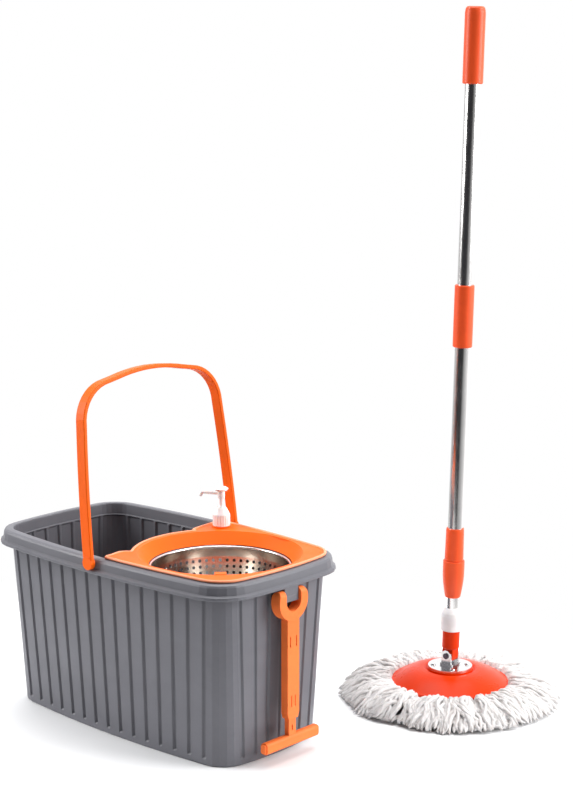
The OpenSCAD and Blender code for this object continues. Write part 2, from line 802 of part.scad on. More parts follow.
module twist_rod() color(steel) at_neck()
    stack_of_loops([
        for (k = [0 : rod_slices])
            lift(rod_section(360 * twist_turns * k / rod_slices),
                 rod_bottom + (rod_top - rod_bottom) * k / rod_slices)
    ]);
lock_s = 91;
seam_s = 147.5;
tube_s = 197;
joint_s = 468.5;
joint_len = 90.5;
grip_s = 844;
module rod_plug() color(white) at_neck() translate([0, 0, rod_top - 20]) difference() {
    cylinder(r = tube_r - 1, h = 30);
    translate([-rod_w / 2 - 0.1, -rod_w / 2 - 0.1, -1])
        cube([rod_w + 0.2, rod_w + 0.2, 21.2]);
}
module lower_tube() color(steel) at_neck() translate([0, 0, 150])
    ring(tube_r, tube_r - 1, joint_s + 45 - 150);
module upper_tube() color(steel) at_neck() translate([0, 0, joint_s + 45.5])
    ring(tube_r, tube_r - 1, pole_len - 12 - joint_s - 45.5);
module guide_bush() color(white) at_neck() translate([0, 0, lock_s + 16])
    ring(12.6, tube_in_r + 0.06, 28);
module lock_body() color(red_orange) at_neck() difference() {
    union() {
        translate([0, 0, seam_s - 10])
            cylinder(r = 13.05, h = 12);
        rotate_extrude()
            polygon([[0, seam_s + 0.8], [14, seam_s + 0.8], [13.9, seam_s + 6], [13.3, tube_s - 4],
                     [12.9, tube_s - 0.6], [12.3, tube_s], [0, tube_s]]);
    }
    translate([0, 0, lock_s])
        cylinder(r = tube_r + fit, h = 200);
}
module lock_grip() color(red_orange) at_neck() difference() {
    rotate_extrude()
        polygon(concat(
            [[0, lock_s], [10.8, lock_s]],
            [for (k = [0 : 7]) let (f = k / 7)
                [11.6 + 4.4 * sin(90 * f), lock_s + 1 + 38 * f]],
            [[16, seam_s - 1], [15.2, seam_s], [0, seam_s]]
        ));
    translate([0, 0, lock_s - 1])
        cylinder(r = tube_in_r + 0.4, h = 20);
    translate([0, 0, lock_s + 15.6])
        cylinder(r = 13.1, h = 60);
}
module tube_joint() color(red_orange) at_neck() difference() {
    rotate_extrude()
        polygon([[0, joint_s], [13.4, joint_s], [14.3, joint_s + 1.2], [14.3, joint_s + joint_len - 1.2],
                 [13.4, joint_s + joint_len], [0, joint_s + joint_len]]);
    translate([0, 0, joint_s - 1])
        cylinder(r = tube_r + fit, h = joint_len + 2);
}
module top_grip() color(red_orange) at_neck() difference() {
    rotate_extrude()
        polygon([[0, grip_s], [13.8, grip_s], [14.7, grip_s + 1.5], [14.7, pole_len - 9],
                 [14.2, pole_len - 5], [0, pole_len - 5]]);
    translate([0, 0, grip_s - 1])
        cylinder(r = tube_r + fit, h = pole_len - grip_s - 10.9);
    translate([0, 0, pole_len - 14])
        cylinder(r = 9, h = 20);
}
module grip_cap() color(red_orange) at_neck() {
    translate([0, 0, pole_len - 11.9])
        cylinder(r = 9 - fit, h = 8);
    rotate_extrude()
        polygon([[0, pole_len - 4.9], [14, pole_len - 4.9], [13.4, pole_len - 2.4], [11.6, pole_len - 0.5],
                 [9, pole_len], [0, pole_len]]);
}

bucket();
bail_handle();
bail_pins();
insert_deck();
basket_bowl();
basket_hub();
basket_screws();
spindle_bush();
spindle_pin();
spindle_post();
soap_tank();
pump_collar();
pump_barrel();
pump_head();
pump_piston();
pump_spring();
pump_ball();
dip_tube();
pull_pin();
pull_sleeve();
pull_bar();
mop_strands();
strand_ring();
mop_disc();
swivel_plate();
plate_screws();
tilt_pin();
mop_neck();
swivel_collar();
inner_tube();
drive_nut();
twist_rod();
rod_plug();
guide_bush();
lock_body();
lock_grip();
lower_tube();
tube_joint();
upper_tube();
top_grip();
grip_cap();
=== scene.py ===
"""A spin mop set: a fluted bucket with a perforated wringer basket, a soap pump, a bail and
a pull handle, and a telescopic mop with a round head of microfibre strands."""

import math
import random
from types import SimpleNamespace

import bmesh
import bpy
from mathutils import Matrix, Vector, noise


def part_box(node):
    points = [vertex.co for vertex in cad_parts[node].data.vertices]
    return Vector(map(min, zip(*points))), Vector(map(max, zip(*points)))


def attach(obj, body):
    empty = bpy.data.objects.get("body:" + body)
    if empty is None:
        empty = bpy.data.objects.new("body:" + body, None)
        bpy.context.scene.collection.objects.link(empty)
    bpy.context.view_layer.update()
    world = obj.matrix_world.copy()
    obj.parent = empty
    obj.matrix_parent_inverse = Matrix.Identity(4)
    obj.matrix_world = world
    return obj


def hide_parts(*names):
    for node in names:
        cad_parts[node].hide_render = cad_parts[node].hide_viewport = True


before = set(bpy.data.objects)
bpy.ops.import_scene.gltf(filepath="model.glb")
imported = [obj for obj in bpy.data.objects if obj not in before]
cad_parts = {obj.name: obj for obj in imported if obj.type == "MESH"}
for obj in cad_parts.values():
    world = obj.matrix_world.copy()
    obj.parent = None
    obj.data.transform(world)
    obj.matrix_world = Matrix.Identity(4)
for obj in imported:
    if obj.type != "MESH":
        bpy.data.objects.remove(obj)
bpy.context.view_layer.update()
MM = 0.001
UP = Vector((0, 0, 1))

# ---------- node helpers ----------


class Nodes:
    """A material's node tree. A source is a pair: a node and the name or index of its output."""

    def __init__(self, name):
        self.material = bpy.data.materials.new(name)
        self.material.use_nodes = True
        self.tree = self.material.node_tree
        self.tree.nodes.clear()
        self.output = self.tree.nodes.new("ShaderNodeOutputMaterial")
        self.shader = self.tree.nodes.new("ShaderNodeBsdfPrincipled")
        self.join((self.shader, "BSDF"), self.output, "Surface")
        self.coords = self.tree.nodes.new("ShaderNodeTexCoord")

    def join(self, source, node, inp):
        self.tree.links.new(source[0].outputs[source[1]], node.inputs[inp])

    def feed(self, source, inp):
        """Joins a source to an input of the material's shader."""
        self.join(source, self.shader, inp)

    def set(self, **values):
        """Sets constants on the shader's own sockets."""
        for key, value in values.items():
            self.shader.inputs[key.replace("_", " ")].default_value = value

    def add(self, kind, **values):
        """Adds a node and sets constants on its inputs."""
        node = self.tree.nodes.new(kind)
        for key, value in values.items():
            node.inputs[key].default_value = value
        return node

    def noise(self, scale, detail=3.0, stretch=(1, 1, 1), distortion=0.0):
        """Noise over the object's own coordinates, in features per metre."""
        mapping = self.add("ShaderNodeMapping", Scale=tuple(scale * s for s in stretch))
        self.join((self.coords, "Object"), mapping, "Vector")
        texture = self.add("ShaderNodeTexNoise", Scale=1.0, Detail=detail, Distortion=distortion)
        self.join((mapping, "Vector"), texture, "Vector")
        return texture, "Fac"

    def remap(self, source, low, high, to_low, to_high):
        """Maps the range low..high of a source to to_low..to_high."""
        node = self.add("ShaderNodeMapRange")
        node.inputs["From Min"].default_value = low
        node.inputs["From Max"].default_value = high
        node.inputs["To Min"].default_value = to_low
        node.inputs["To Max"].default_value = to_high
        self.join(source, node, "Value")
        return node, "Result"

    def mix(self, factor, a, b):
        """Colour a where the factor is 0, b where it is 1. Either is a colour or a source."""
        node = self.tree.nodes.new("ShaderNodeMix")
        node.data_type = "RGBA"
        self.join(factor, node, 0)
        for index, value in ((6, a), (7, b)):
            if isinstance(value[0], bpy.types.Node):
                self.join(value, node, index)
            else:
                node.inputs[index].default_value = (*value, 1.0)
        return node, 2

    def times(self, a, b):
        """The product of a source and b, which is a source or a number."""
        node = self.tree.nodes.new("ShaderNodeMath")
        node.operation = "MULTIPLY"
        self.join(a, node, 0)
        if isinstance(b, tuple):
            self.join(b, node, 1)
        else:
            node.inputs[1].default_value = b
        return node, 0

    def bumps(self, *layers, edge=0.0):
        """Chains bump nodes over each other: a layer is (source, height in metres).
        Where edge is given, sharp edges are shaded as if rounded to that radius in metres."""
        last = None
        if edge:
            last = self.add("ShaderNodeBevel", Radius=edge)
            last.samples = 4
        for source, height in layers:
            bump = self.add("ShaderNodeBump", Strength=1.0, Distance=height)
            self.join(source, bump, "Height")
            if last:
                self.join((last, "Normal"), bump, "Normal")
            last = bump
        self.feed((last, "Normal"), "Normal")

    def edge_wear_and_highlight(self):
        """High on convex edges: rubbed wear there, and a painted edge highlight."""
        geometry = self.tree.nodes.new("ShaderNodeNewGeometry")
        return self.remap((geometry, "Pointiness"), 0.51, 0.58, 0.0, 1.0)


def tint(colour, k):
    """The colour made k times as light."""
    return tuple(min(1.0, c * k) for c in colour)


# ---------- materials ----------


def plastic(name, colour, rough, grain, grain_depth, gloss, pale, see_in=0.0, edge=0.0005):
    """Moulded plastic: faint flow marks, a fine grain, softened edges, paler convex edges, and
    scuffs.
    pale is how much lighter its convex edges are, as wear and painted highlight; see_in how much
    light goes into it."""
    n = Nodes(name)
    flow = n.remap(n.noise(9.0, 4.0, (1, 1, 2.2), 0.6), 0.3, 0.7, 0.0, 1.0)
    base = n.mix(flow, tint(colour, 0.93), tint(colour, 1.04))
    # Paler convex edges in patches: rubbed wear and a painted edge highlight.
    wear_and_highlight = n.times(n.edge_wear_and_highlight(), n.remap(n.noise(160.0, 5.0), 0.35, 0.7, 0.0, 0.6))
    base = n.mix(wear_and_highlight, base, tint(colour, pale))
    scuff_noise = n.noise(60.0, 6.0, (1.0, 1.0, 7.0), 1.5)
    scuff = n.remap(scuff_noise, 0.6, 0.72, 0.0, 0.35)
    base = n.mix(n.times(scuff, 0.3), base, tint(colour, 1.12))
    n.feed(base, "Base Color")
    n.feed(n.remap(n.noise(22.0, 5.0), 0.3, 0.7, rough - 0.05, rough + 0.07), "Roughness")
    fine_grain = (n.noise(grain, 2.0), grain_depth)
    waviness = (n.noise(38.0, 2.0), 0.0001)
    n.bumps(fine_grain, waviness, (scuff_noise, 0.00002), edge=edge)
    n.set(Specular_IOR_Level=gloss, IOR=1.5, Subsurface_Weight=see_in)
    n.set(Subsurface_Radius=(0.004, 0.003, 0.002))
    return n.material


def brushed(name, colour, rough, stretch, streak=420.0, spots=True):
    """Pressed or drawn steel: fine lines along one direction, faint smears and, with spots,
    the marks of dried drops."""
    n = Nodes(name)
    lines = n.noise(streak, 3.0, stretch)
    smears = n.remap(n.noise(24.0, 4.0), 0.35, 0.7, 0.0, 1.0)
    base = n.mix(smears, tint(colour, 0.94), tint(colour, 1.03))
    if spots:
        drops = n.remap(n.noise(110.0, 2.0), 0.66, 0.72, 0.0, 0.25)
        base = n.mix(drops, base, tint(colour, 0.72))
    n.feed(base, "Base Color")
    n.set(Metallic=1.0, Anisotropic=0.35)
    line_rough = n.remap(lines, 0.3, 0.7, 0.8, 1.25)
    smear_rough = n.remap(n.noise(18.0, 3.0), 0.3, 0.7, rough * 0.85, rough * 1.2)
    n.feed(n.times(line_rough, smear_rough), "Roughness")
    n.bumps((lines, 0.000012), (n.noise(70.0, 2.0), 0.00006))
    return n.material


def microfibre():
    """White twisted yarn. Each yarn's mesh holds its own tone: random, plus painted shade low in
    the pile.
    """
    n = Nodes("microfibre_yarn")
    tone = n.tree.nodes.new("ShaderNodeAttribute")
    tone.attribute_name = "tone"
    fleck = n.remap(n.noise(700.0, 3.0), 0.3, 0.7, 0.0, 1.0)
    # Painted shade: the tone runs from the shaded yarn colour to the lit one.
    base = n.mix((tone, "Fac"), YARN_SHADED, YARN_LIT)
    base = n.mix(n.times(fleck, 0.2), base, YARN_FLECK)
    n.feed(base, "Base Color")
    n.feed(n.remap(n.noise(300.0, 2.0), 0.3, 0.7, 0.85, 1.0), "Roughness")
    n.bumps((n.noise(2600.0, 2.0), 0.0007), (n.noise(900.0, 2.0), 0.0006))
    n.set(Sheen_Weight=0.6, Sheen_Roughness=0.4, Subsurface_Weight=0.5, Specular_IOR_Level=0.2)
    n.set(Subsurface_Radius=(0.008, 0.0075, 0.007))
    return n.material


GREY = (0.138, 0.138, 0.156)
ORANGE = (0.95, 0.128, 0.004)
# The deck bead's paler orange, a painted highlight.
HIGHLIGHT_ORANGE = (0.97, 0.33, 0.17)
# The pull handle's orange plastic, made paler as a painted sheen.
SHEEN_PALE_ORANGE = (0.96, 0.19, 0.04)
RED_ORANGE = (0.71, 0.036, 0.0)
POLE_ORANGE = (0.95, 0.10, 0.022)
WHITE = (0.93, 0.915, 0.915)
# The soap tank's white plastic, greyed as painted shade under the deck.
SHADED_WHITE = (0.40, 0.40, 0.41)
WARM_STEEL = (0.52, 0.48, 0.43)
BRIGHT_STEEL = (0.74, 0.735, 0.735)
TUBE_STEEL = (0.74, 0.73, 0.72)
DARK_STEEL = (0.10, 0.09, 0.11)
# The yarn in painted shade and lit. A yarn's tone between them is partly random and partly painted
# shade.
YARN_SHADED = (0.64, 0.61, 0.60)
YARN_LIT = (0.85, 0.825, 0.815)
YARN_FLECK = (0.93, 0.91, 0.90)

grey_mat = plastic(
    "grey_moulded", GREY, rough=0.4, grain=1100.0, grain_depth=0.00003, gloss=0.35, pale=1.3,
    edge=0.0014,
)
orange_mat = plastic(
    "orange_moulded", ORANGE, rough=0.46, grain=700.0, grain_depth=0.00001, gloss=0.15, pale=1.15,
    edge=0.0008,
)
# A paler orange as a painted highlight along the deck's edge.
highlight_edge_mat = plastic(
    "orange_edge_painted_highlight", HIGHLIGHT_ORANGE, rough=0.4, grain=700.0, grain_depth=0.00001, gloss=0.3,
    pale=1.1, edge=0.0,
)
# A paler orange as a painted sheen on the pull handle.
pull_sheen_mat = plastic(
    "orange_satin", SHEEN_PALE_ORANGE, rough=0.5, grain=900.0, grain_depth=0.00003, gloss=0.22,
    pale=1.15, edge=0.0006,
)
red_mat = plastic(
    "red_orange_gloss", RED_ORANGE, rough=0.3, grain=500.0, grain_depth=0.000008, gloss=0.12,
    pale=1.12,
)
pole_mat = plastic(
    "red_orange_satin", POLE_ORANGE, rough=0.36, grain=700.0, grain_depth=0.00001, gloss=0.3,
    pale=1.12,
)
white_mat = plastic(
    "white_moulded", WHITE, rough=0.35, grain=800.0, grain_depth=0.00001, gloss=0.4, pale=1.05,
    see_in=0.15,
)
# White plastic greyed as painted shade, for the soap tank under the deck.
tank_shade_mat = plastic(
    "white_tank_painted_shade", SHADED_WHITE, rough=0.45, grain=600.0, grain_depth=0.00002, gloss=0.3,
    pale=1.1, see_in=0.2, edge=0.0008,
)
basket_mat = brushed("pressed_steel", WARM_STEEL, 0.18, (1, 1, 14))
steel_mat = brushed("bright_steel", BRIGHT_STEEL, 0.2, (3, 3, 3))
tube_mat = brushed("drawn_tube", TUBE_STEEL, 0.2, (6, 6, 0.15), streak=300.0, spots=False)
yarn_mat = microfibre()
dark_steel_mat = brushed("dark_steel", DARK_STEEL, 0.35, (3, 3, 3))

FINISH = {
    grey_mat: "bucket bail_pins spindle_post",
    orange_mat: "bail_handle insert_deck",
    pull_sheen_mat: "pull_sleeve pull_bar",
    red_mat: "mop_disc mop_neck",
    pole_mat: "lock_body lock_grip tube_joint top_grip grip_cap",
    white_mat: "basket_hub spindle_bush pump_collar pump_barrel pump_head pump_piston dip_tube"
    " strand_ring swivel_collar drive_nut rod_plug guide_bush",
    steel_mat: "basket_bowl basket_screws spindle_pin pump_spring pump_ball pull_pin plate_screws"
    " twist_rod swivel_plate",
    dark_steel_mat: "tilt_pin",
    tank_shade_mat: "soap_tank",
    tube_mat: "lower_tube upper_tube inner_tube",
    yarn_mat: "mop_strands",
}
for material, names in FINISH.items():
    for name in names.split():
        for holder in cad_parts[name].material_slots:
            holder.material = material

# ---------- mesh helpers ----------


def soften(mesh, sharp, merge=0.0):
    """Smooth shading, except across edges sharper than an angle in degrees.
    Vertices closer than merge, in metres, are joined first."""
    bm = bmesh.new()
    bm.from_mesh(mesh)
    if merge:
        bmesh.ops.remove_doubles(bm, verts=bm.verts, dist=merge)
    bmesh.ops.recalc_face_normals(bm, faces=bm.faces)
    for face in bm.faces:
        face.smooth = True
    for edge in bm.edges:
        angle = edge.calc_face_angle(0.0) if len(edge.link_faces) == 2 else 0.0
        edge.smooth = angle <= math.radians(sharp)
    bm.to_mesh(mesh)
    bm.free()


def object_from(name, verts, faces, material, merge=0.0, sharp=40.0):
    """A new object from vertices in metres and faces, linked to the scene."""
    mesh = bpy.data.meshes.new(name)
    mesh.from_pydata(verts, [], faces)
    soften(mesh, sharp, merge)
    obj = bpy.data.objects.new(name, mesh)
    bpy.context.scene.collection.objects.link(obj)
    mesh.materials.append(material)
    return obj


def thicken(obj, thickness, sharp):
    """Gives a sheet a thickness in metres, half of it to each side."""
    shell = obj.modifiers.new("thickness", "SOLIDIFY")
    shell.thickness = thickness
    shell.offset = 0.0
    bpy.context.view_layer.update()
    graph = bpy.context.evaluated_depsgraph_get()
    mesh = bpy.data.meshes.new_from_object(obj.evaluated_get(graph))
    obj.modifiers.clear()
    obj.data = mesh
    soften(mesh, sharp)


def circle(radius, count):
    """Points (x, y) a steady angle apart round a circle."""
    angles = [2 * math.pi * k / count for k in range(count)]
    return [(radius * math.cos(a), radius * math.sin(a)) for a in angles]


def swept_loop(path, section):
    """Vertices and faces of a closed section, given as (out, up), swept round a closed path."""
    verts, faces = [], []
    count, size = len(path), len(section)
    for i, point in enumerate(path):
        along = (path[(i + 1) % count] - path[i - 1]).normalized()
        side = along.cross(UP).normalized()
        up = side.cross(along)
        verts.extend(point + side * x + up * y for x, y in section)
    for i in range(count):
        here, beyond = i * size, (i + 1) % count * size
        for k in range(size):
            after = (k + 1) % size
            faces.append((here + k, here + after, beyond + after, beyond + k))
    return verts, faces


# ---------- perforated basket (lengths in millimetres) ----------

bowl_low, bowl_high = (Vector(corner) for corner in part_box("basket_bowl"))
BASKET = Vector(((bowl_low.x + bowl_high.x) / 2, 0.0, 0.0))
SHEET_T = 0.8
TOP_Z = bowl_high.z / MM
FLOOR_Z = bowl_low.z / MM + SHEET_T / 2
RIM_R = (bowl_high.x - bowl_low.x) / 2 / MM
WALL_R = RIM_R - 2.5
LOW_R = 85.5

# The steel rolled over at the rim, and how far under its top the sheet begins.
ROLL_R = 2.2
ROLL_DROP = 1.0

# The round bend between the wall and the floor.
BEND_R = 12.0
BEND_STEPS = 6

# Depths under the rim: the wall is upright down to the first and has no holes down to the second.
STRAIGHT_TOP = 14.0
PLAIN_TOP = 17.0

# The holes of the wall.
COLUMNS = 60
ROWS = 7
ROW_GAP = 8.6
HOLE_R = 2.3
HOLE_SIDES = 16

# The floor's ring lines as radii, and which of the bands between them have drain holes.
FLOOR_RINGS = (66.0, 58.0, 50.0, 42.0, 24.4)
DRAIN_BANDS = (1, 2, 3)
DRAIN_R = 1.7

# A cell's corners and the middles of its sides, as shares of its width and height.
CELL_RIM = ((0, 0), (0.5, 0), (1, 0), (1, 0.5), (1, 1), (0.5, 1), (0, 1), (0, 0.5))


def wall_at(z):
    """The wall as (radius, height): upright near the rim and tapered below."""
    low_z = FLOOR_Z + BEND_R
    high_z = TOP_Z - STRAIGHT_TOP
    t = min(max((z - low_z) / (high_z - low_z), 0), 1)
    return LOW_R + (WALL_R - LOW_R) * t, z


def basket_bands():
    """The bands from rim to hub: two lines as (radius, height), and the radius of the holes."""
    plain = [TOP_Z - ROLL_DROP, TOP_Z - STRAIGHT_TOP, TOP_Z - PLAIN_TOP]
    for high, low in zip(plain, plain[1:]):
        yield wall_at(high), wall_at(low), 0.0
    pierced = [TOP_Z - PLAIN_TOP - ROW_GAP * row for row in range(ROWS + 1)]
    for high, low in zip(pierced, pierced[1:]):
        yield wall_at(high), wall_at(low), HOLE_R
    yield wall_at(pierced[-1]), wall_at(FLOOR_Z + BEND_R), 0.0
    turns = [math.radians(90 * k / BEND_STEPS) for k in range(BEND_STEPS + 1)]
    bend = [
        (LOW_R - BEND_R + BEND_R * math.cos(a), FLOOR_Z + BEND_R - BEND_R * math.sin(a))
        for a in turns
    ]
    for outer, inner in zip(bend, bend[1:]):
        yield outer, inner, 0.0
    floor = [bend[-1]] + [(r, FLOOR_Z) for r in FLOOR_RINGS]
    for index, (outer, inner) in enumerate(zip(floor, floor[1:])):
        yield outer, inner, DRAIN_R if index in DRAIN_BANDS else 0.0


def on_band(line_a, line_b, u, v):
    """The point at the angle u, and a share v of the way from line a to line b."""
    r = line_a[0] + (line_b[0] - line_a[0]) * v
    z = line_a[1] + (line_b[1] - line_a[1]) * v
    return Vector((r * math.cos(u) * MM, r * math.sin(u) * MM, z * MM)) + BASKET


def plain_cell(verts, faces, line_a, line_b, turn, step):
    """A cell with no hole, as two flat halves."""
    for u in (turn, turn + step / 2):
        start = len(verts)
        for du, v in ((0, 0), (step / 2, 0), (step / 2, 1), (0, 1)):
            verts.append(on_band(line_a, line_b, u + du, v))
        faces.append((start, start + 1, start + 2, start + 3))


def pierced_cell(verts, faces, line_a, line_b, turn, step, hole_r):
    """A cell with a round hole: eight five-sided faces between its rim and the hole."""
    mid_r = (line_a[0] + line_b[0]) / 2
    length = math.dist(line_a, line_b)
    start = len(verts)
    inner = start + len(CELL_RIM)
    for u, v in CELL_RIM:
        verts.append(on_band(line_a, line_b, turn + u * step, v))
    for k in range(HOLE_SIDES):
        angle = math.radians(-135) + 2 * math.pi * k / HOLE_SIDES
        du = hole_r * math.cos(angle) / mid_r
        dv = hole_r * math.sin(angle) / length
        verts.append(on_band(line_a, line_b, turn + step / 2 + du, 0.5 + dv))
    for k in range(len(CELL_RIM)):
        after = start + (k + 1) % len(CELL_RIM)
        a, b, c = (inner + (2 * k + j) % HOLE_SIDES for j in range(3))
        faces.append((start + k, after, c, b, a))


def perforated_basket():
    """The bowl with its holes, and the steel rolled over at its rim."""
    verts, faces = [], []
    step = 2 * math.pi / COLUMNS
    for line_a, line_b, hole_r in basket_bands():
        for column in range(COLUMNS):
            if hole_r:
                pierced_cell(verts, faces, line_a, line_b, column * step, step, hole_r)
            else:
                plain_cell(verts, faces, line_a, line_b, column * step, step)
    bowl = object_from("perforated_basket", verts, faces, basket_mat, merge=0.02 * MM)
    thicken(bowl, SHEET_T * MM, 35)
    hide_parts("basket_bowl")
    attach(bowl, "basket")

    lift = Vector((0, 0, (TOP_Z - ROLL_R) * MM))
    path = [Vector((x, y, 0)) + BASKET + lift for x, y in circle((RIM_R - ROLL_R - 0.1) * MM, 180)]
    verts, faces = swept_loop(path, circle(ROLL_R * MM, 12))
    rim = object_from("basket_rolled_rim", verts, faces, steel_mat)
    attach(rim, "basket")


perforated_basket()

# ---------- bead along the deck's edge ----------

BEAD_R = 2.0 * MM
BEAD_DROP = 0.3 * BEAD_R
BEAD_STEP = 3.0 * MM
BEAD_SIDES = 10
ARM_X = 20.0 * MM
UPRIGHT = 0.1
FLAT = 0.9


def edge_loops(node, z):
    """The loops of the node's edges at height z where a flat top meets an upright side."""
    bm = bmesh.new()
    bm.from_mesh(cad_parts[node].data)
    bmesh.ops.remove_doubles(bm, verts=bm.verts, dist=0.01 * MM)
    after = {}
    for edge in bm.edges:
        if len(edge.link_faces) != 2 or any(abs(v.co.z - z) > 0.05 * MM for v in edge.verts):
            continue
        tilts = sorted(abs(face.normal.z) for face in edge.link_faces)
        if tilts[0] < UPRIGHT and tilts[1] > FLAT:
            a, b = (v.index for v in edge.verts)
            after.setdefault(a, []).append(b)
            after.setdefault(b, []).append(a)
    spots = [v.co.copy() for v in bm.verts]
    bm.free()
    loops, seen = [], set()
    for start in after:
        if start in seen:
            continue
        loop, here = [], start
        while here is not None:
            seen.add(here)
            loop.append(spots[here])
            here = next((other for other in after[here] if other not in seen), None)
        loops.append(loop)
    return loops


def evenly(loop, gap):
    """Points a steady distance apart round a closed loop."""
    points, travelled = [], 0.0
    for a, b in zip(loop, loop[1:] + loop[:1]):
        length = (b - a).length
        while travelled < length:
            points.append(a.lerp(b, travelled / length))
            travelled += gap
        travelled -= length
    return points


def deck_bead():
    """The bead, paled as a painted highlight, along the outline of the deck's flat top, which is
    level with its front arm.
    """
    spots = [v.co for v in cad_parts["insert_deck"].data.vertices]
    flat_top = max(spot.z for spot in spots if spot.x < ARM_X and spot.y < 0)
    outline = max(edge_loops("insert_deck", flat_top), key=len)
    path = evenly(outline, BEAD_STEP)
    for _ in range(2):
        ahead = path[1:] + path[:1]
        behind = path[-1:] + path[:-1]
        path = [(a + b * 2 + c) / 4 for a, b, c in zip(behind, path, ahead)]
    section = [(x, y - BEAD_DROP) for x, y in circle(BEAD_R, BEAD_SIDES)]
    verts, faces = swept_loop(path, section)
    bead = object_from("deck_edge_bead", verts, faces, highlight_edge_mat)
    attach(bead, "bucket_set")


deck_bead()

# ---------- microfibre strands (lengths in millimetres) ----------

strand_low, strand_high = (Vector(corner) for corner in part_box("mop_strands"))
disc_low, disc_high = (Vector(corner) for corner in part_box("mop_disc"))
MOP = Vector(((strand_low.x + strand_high.x) / 2, (strand_low.y + strand_high.y) / 2, 0.0))
TIP_R = (strand_high.x - strand_low.x) / 2 / MM - 5
DISC_R = (disc_high.x - disc_low.x) / 2 / MM
DISC_EDGE = 3.0
DISC_UNDER_Z = 19.5
DISC_SLOPE = 0.04
ROOT_Z = 14.0
TUFTS = 210
YARNS_PER_TUFT = 6
SEED = 7
GOLDEN = 0.61803
YARN_SIDES = 7
YARN_RINGS = 24

# Shares of a yarn's length: its crest, where it begins to fall and where its tip begins.
CREST_AT = 0.4
FALL_FROM = 0.6
TIP_FROM = 0.88

# The yarn's section: how far its two lobes and its fuzz stand out, as shares of its radius.
LOBES = 0.27
FUZZ = 0.16
FLOOR_GAP = 0.15


def drawn_tuft(rng, index):
    """What the yarns of one tuft share. The golden ratio spreads the tufts round the mop."""
    return SimpleNamespace(
        lean=rng.gauss(0, 0.11),
        angle=2 * math.pi * index * GOLDEN,
        reach=TIP_R - 15 * rng.random() ** 1.3,
        tone=rng.uniform(-0.14, 0.14),
        phase=rng.random() * 6.28,
        lift=rng.random(),
    )


def drawn_yarn(rng, tuft):
    """One yarn of a tuft. Its layer is 0 at the bottom of the pile and 1 at the top."""
    layer = 0.65 * tuft.lift + 0.35 * rng.random()
    return SimpleNamespace(
        layer=layer,
        angle=tuft.angle + rng.gauss(0, 0.028),
        start_r=rng.uniform(46, 66),
        reach=tuft.reach - rng.uniform(0, 7) - 7 * layer,
        crest=13 + 17 * layer + rng.uniform(-1.5, 1.5),
        swing=tuft.lean + rng.gauss(0, 0.035),
        curl=rng.gauss(0, 0.034),
        kink=rng.gauss(0, 0.014),
        phase=tuft.phase + rng.uniform(-0.6, 0.6),
        thick=rng.uniform(2.4, 3.3),
        twist=rng.choice((-1, 1)) * 2 * math.pi / rng.uniform(12, 16),
        # Painted shade: yarns low in the pile are darker, on top of a random tone.
        tone=0.35 + 0.5 * layer + tuft.tone + rng.uniform(-0.12, 0.12),
    )


def yarn_path(yarn):
    """The centre line: out from under the disc, up past its edge and down to the floor."""
    points = []
    for k in range(YARN_RINGS):
        t = k / (YARN_RINGS - 1)
        r = yarn.start_r + (yarn.reach - yarn.start_r) * t
        a = yarn.angle + yarn.swing * t * t + yarn.curl * math.sin(6.0 * t + yarn.phase)
        a += yarn.kink * math.sin(17.0 * t + 3 * yarn.phase)
        z = ROOT_Z + (yarn.crest - 12) * math.sin(math.pi * min(t / CREST_AT, 1.0) / 2)
        fall = max(0.0, t - FALL_FROM) / (1 - FALL_FROM)
        z += (yarn.thick + 0.3 + 5 * yarn.layer - z) * fall**1.8
        waves = 1.3 * math.sin(11.0 * t + yarn.phase) + 0.8 * math.sin(23.0 * t + 2 * yarn.phase)
        z += waves * min(1.0, 3 * t)
        if r < DISC_R + DISC_EDGE:
            inwards = max(0, DISC_R - DISC_EDGE - r)
            z = min(z, DISC_UNDER_Z - yarn.thick - DISC_SLOPE * inwards)
        z = max(z, yarn.thick + 0.2)
        points.append(Vector((r * math.cos(a), r * math.sin(a), z)))
    return points


def yarn_surface(yarn, index, tuft_index):
    """Each vertex and its tone with painted shade, ring by ring: two twisted lobes, a little fuzz
    and a round tip.
    """
    points = yarn_path(yarn)
    travelled = 0.0
    for k, point in enumerate(points):
        t = k / (YARN_RINGS - 1)
        before, after = points[max(k - 1, 0)], points[min(k + 1, YARN_RINGS - 1)]
        along = (after - before).normalized()
        side = along.cross(UP).normalized()
        up = side.cross(along)
        if k:
            travelled += (point - points[k - 1]).length
        past = max(0.0, t - TIP_FROM) / (1 - TIP_FROM)
        tip = 0.15 + 0.85 * math.sqrt(max(0.0, 1 - past**2))
        for j in range(YARN_SIDES):
            turn = 2 * math.pi * j / YARN_SIDES
            lobe = math.cos(2 * turn - travelled * yarn.twist)
            fuzz = noise.noise(point * 0.6 + Vector((j * 3.1, index, tuft_index)))
            radius = yarn.thick * (1 + LOBES * lobe) * (1 + FUZZ * fuzz) * tip
            spot = point + side * (radius * math.cos(turn)) + up * (radius * math.sin(turn))
            spot.z = max(spot.z, FLOOR_GAP)
            # Painted shade: darker towards the root under the disc and between the lobes of the
            # twist.
            shade = yarn.tone * (0.7 + 0.3 * t) + 0.14 * lobe
            yield spot * MM + MOP, min(1.0, max(0.0, shade))


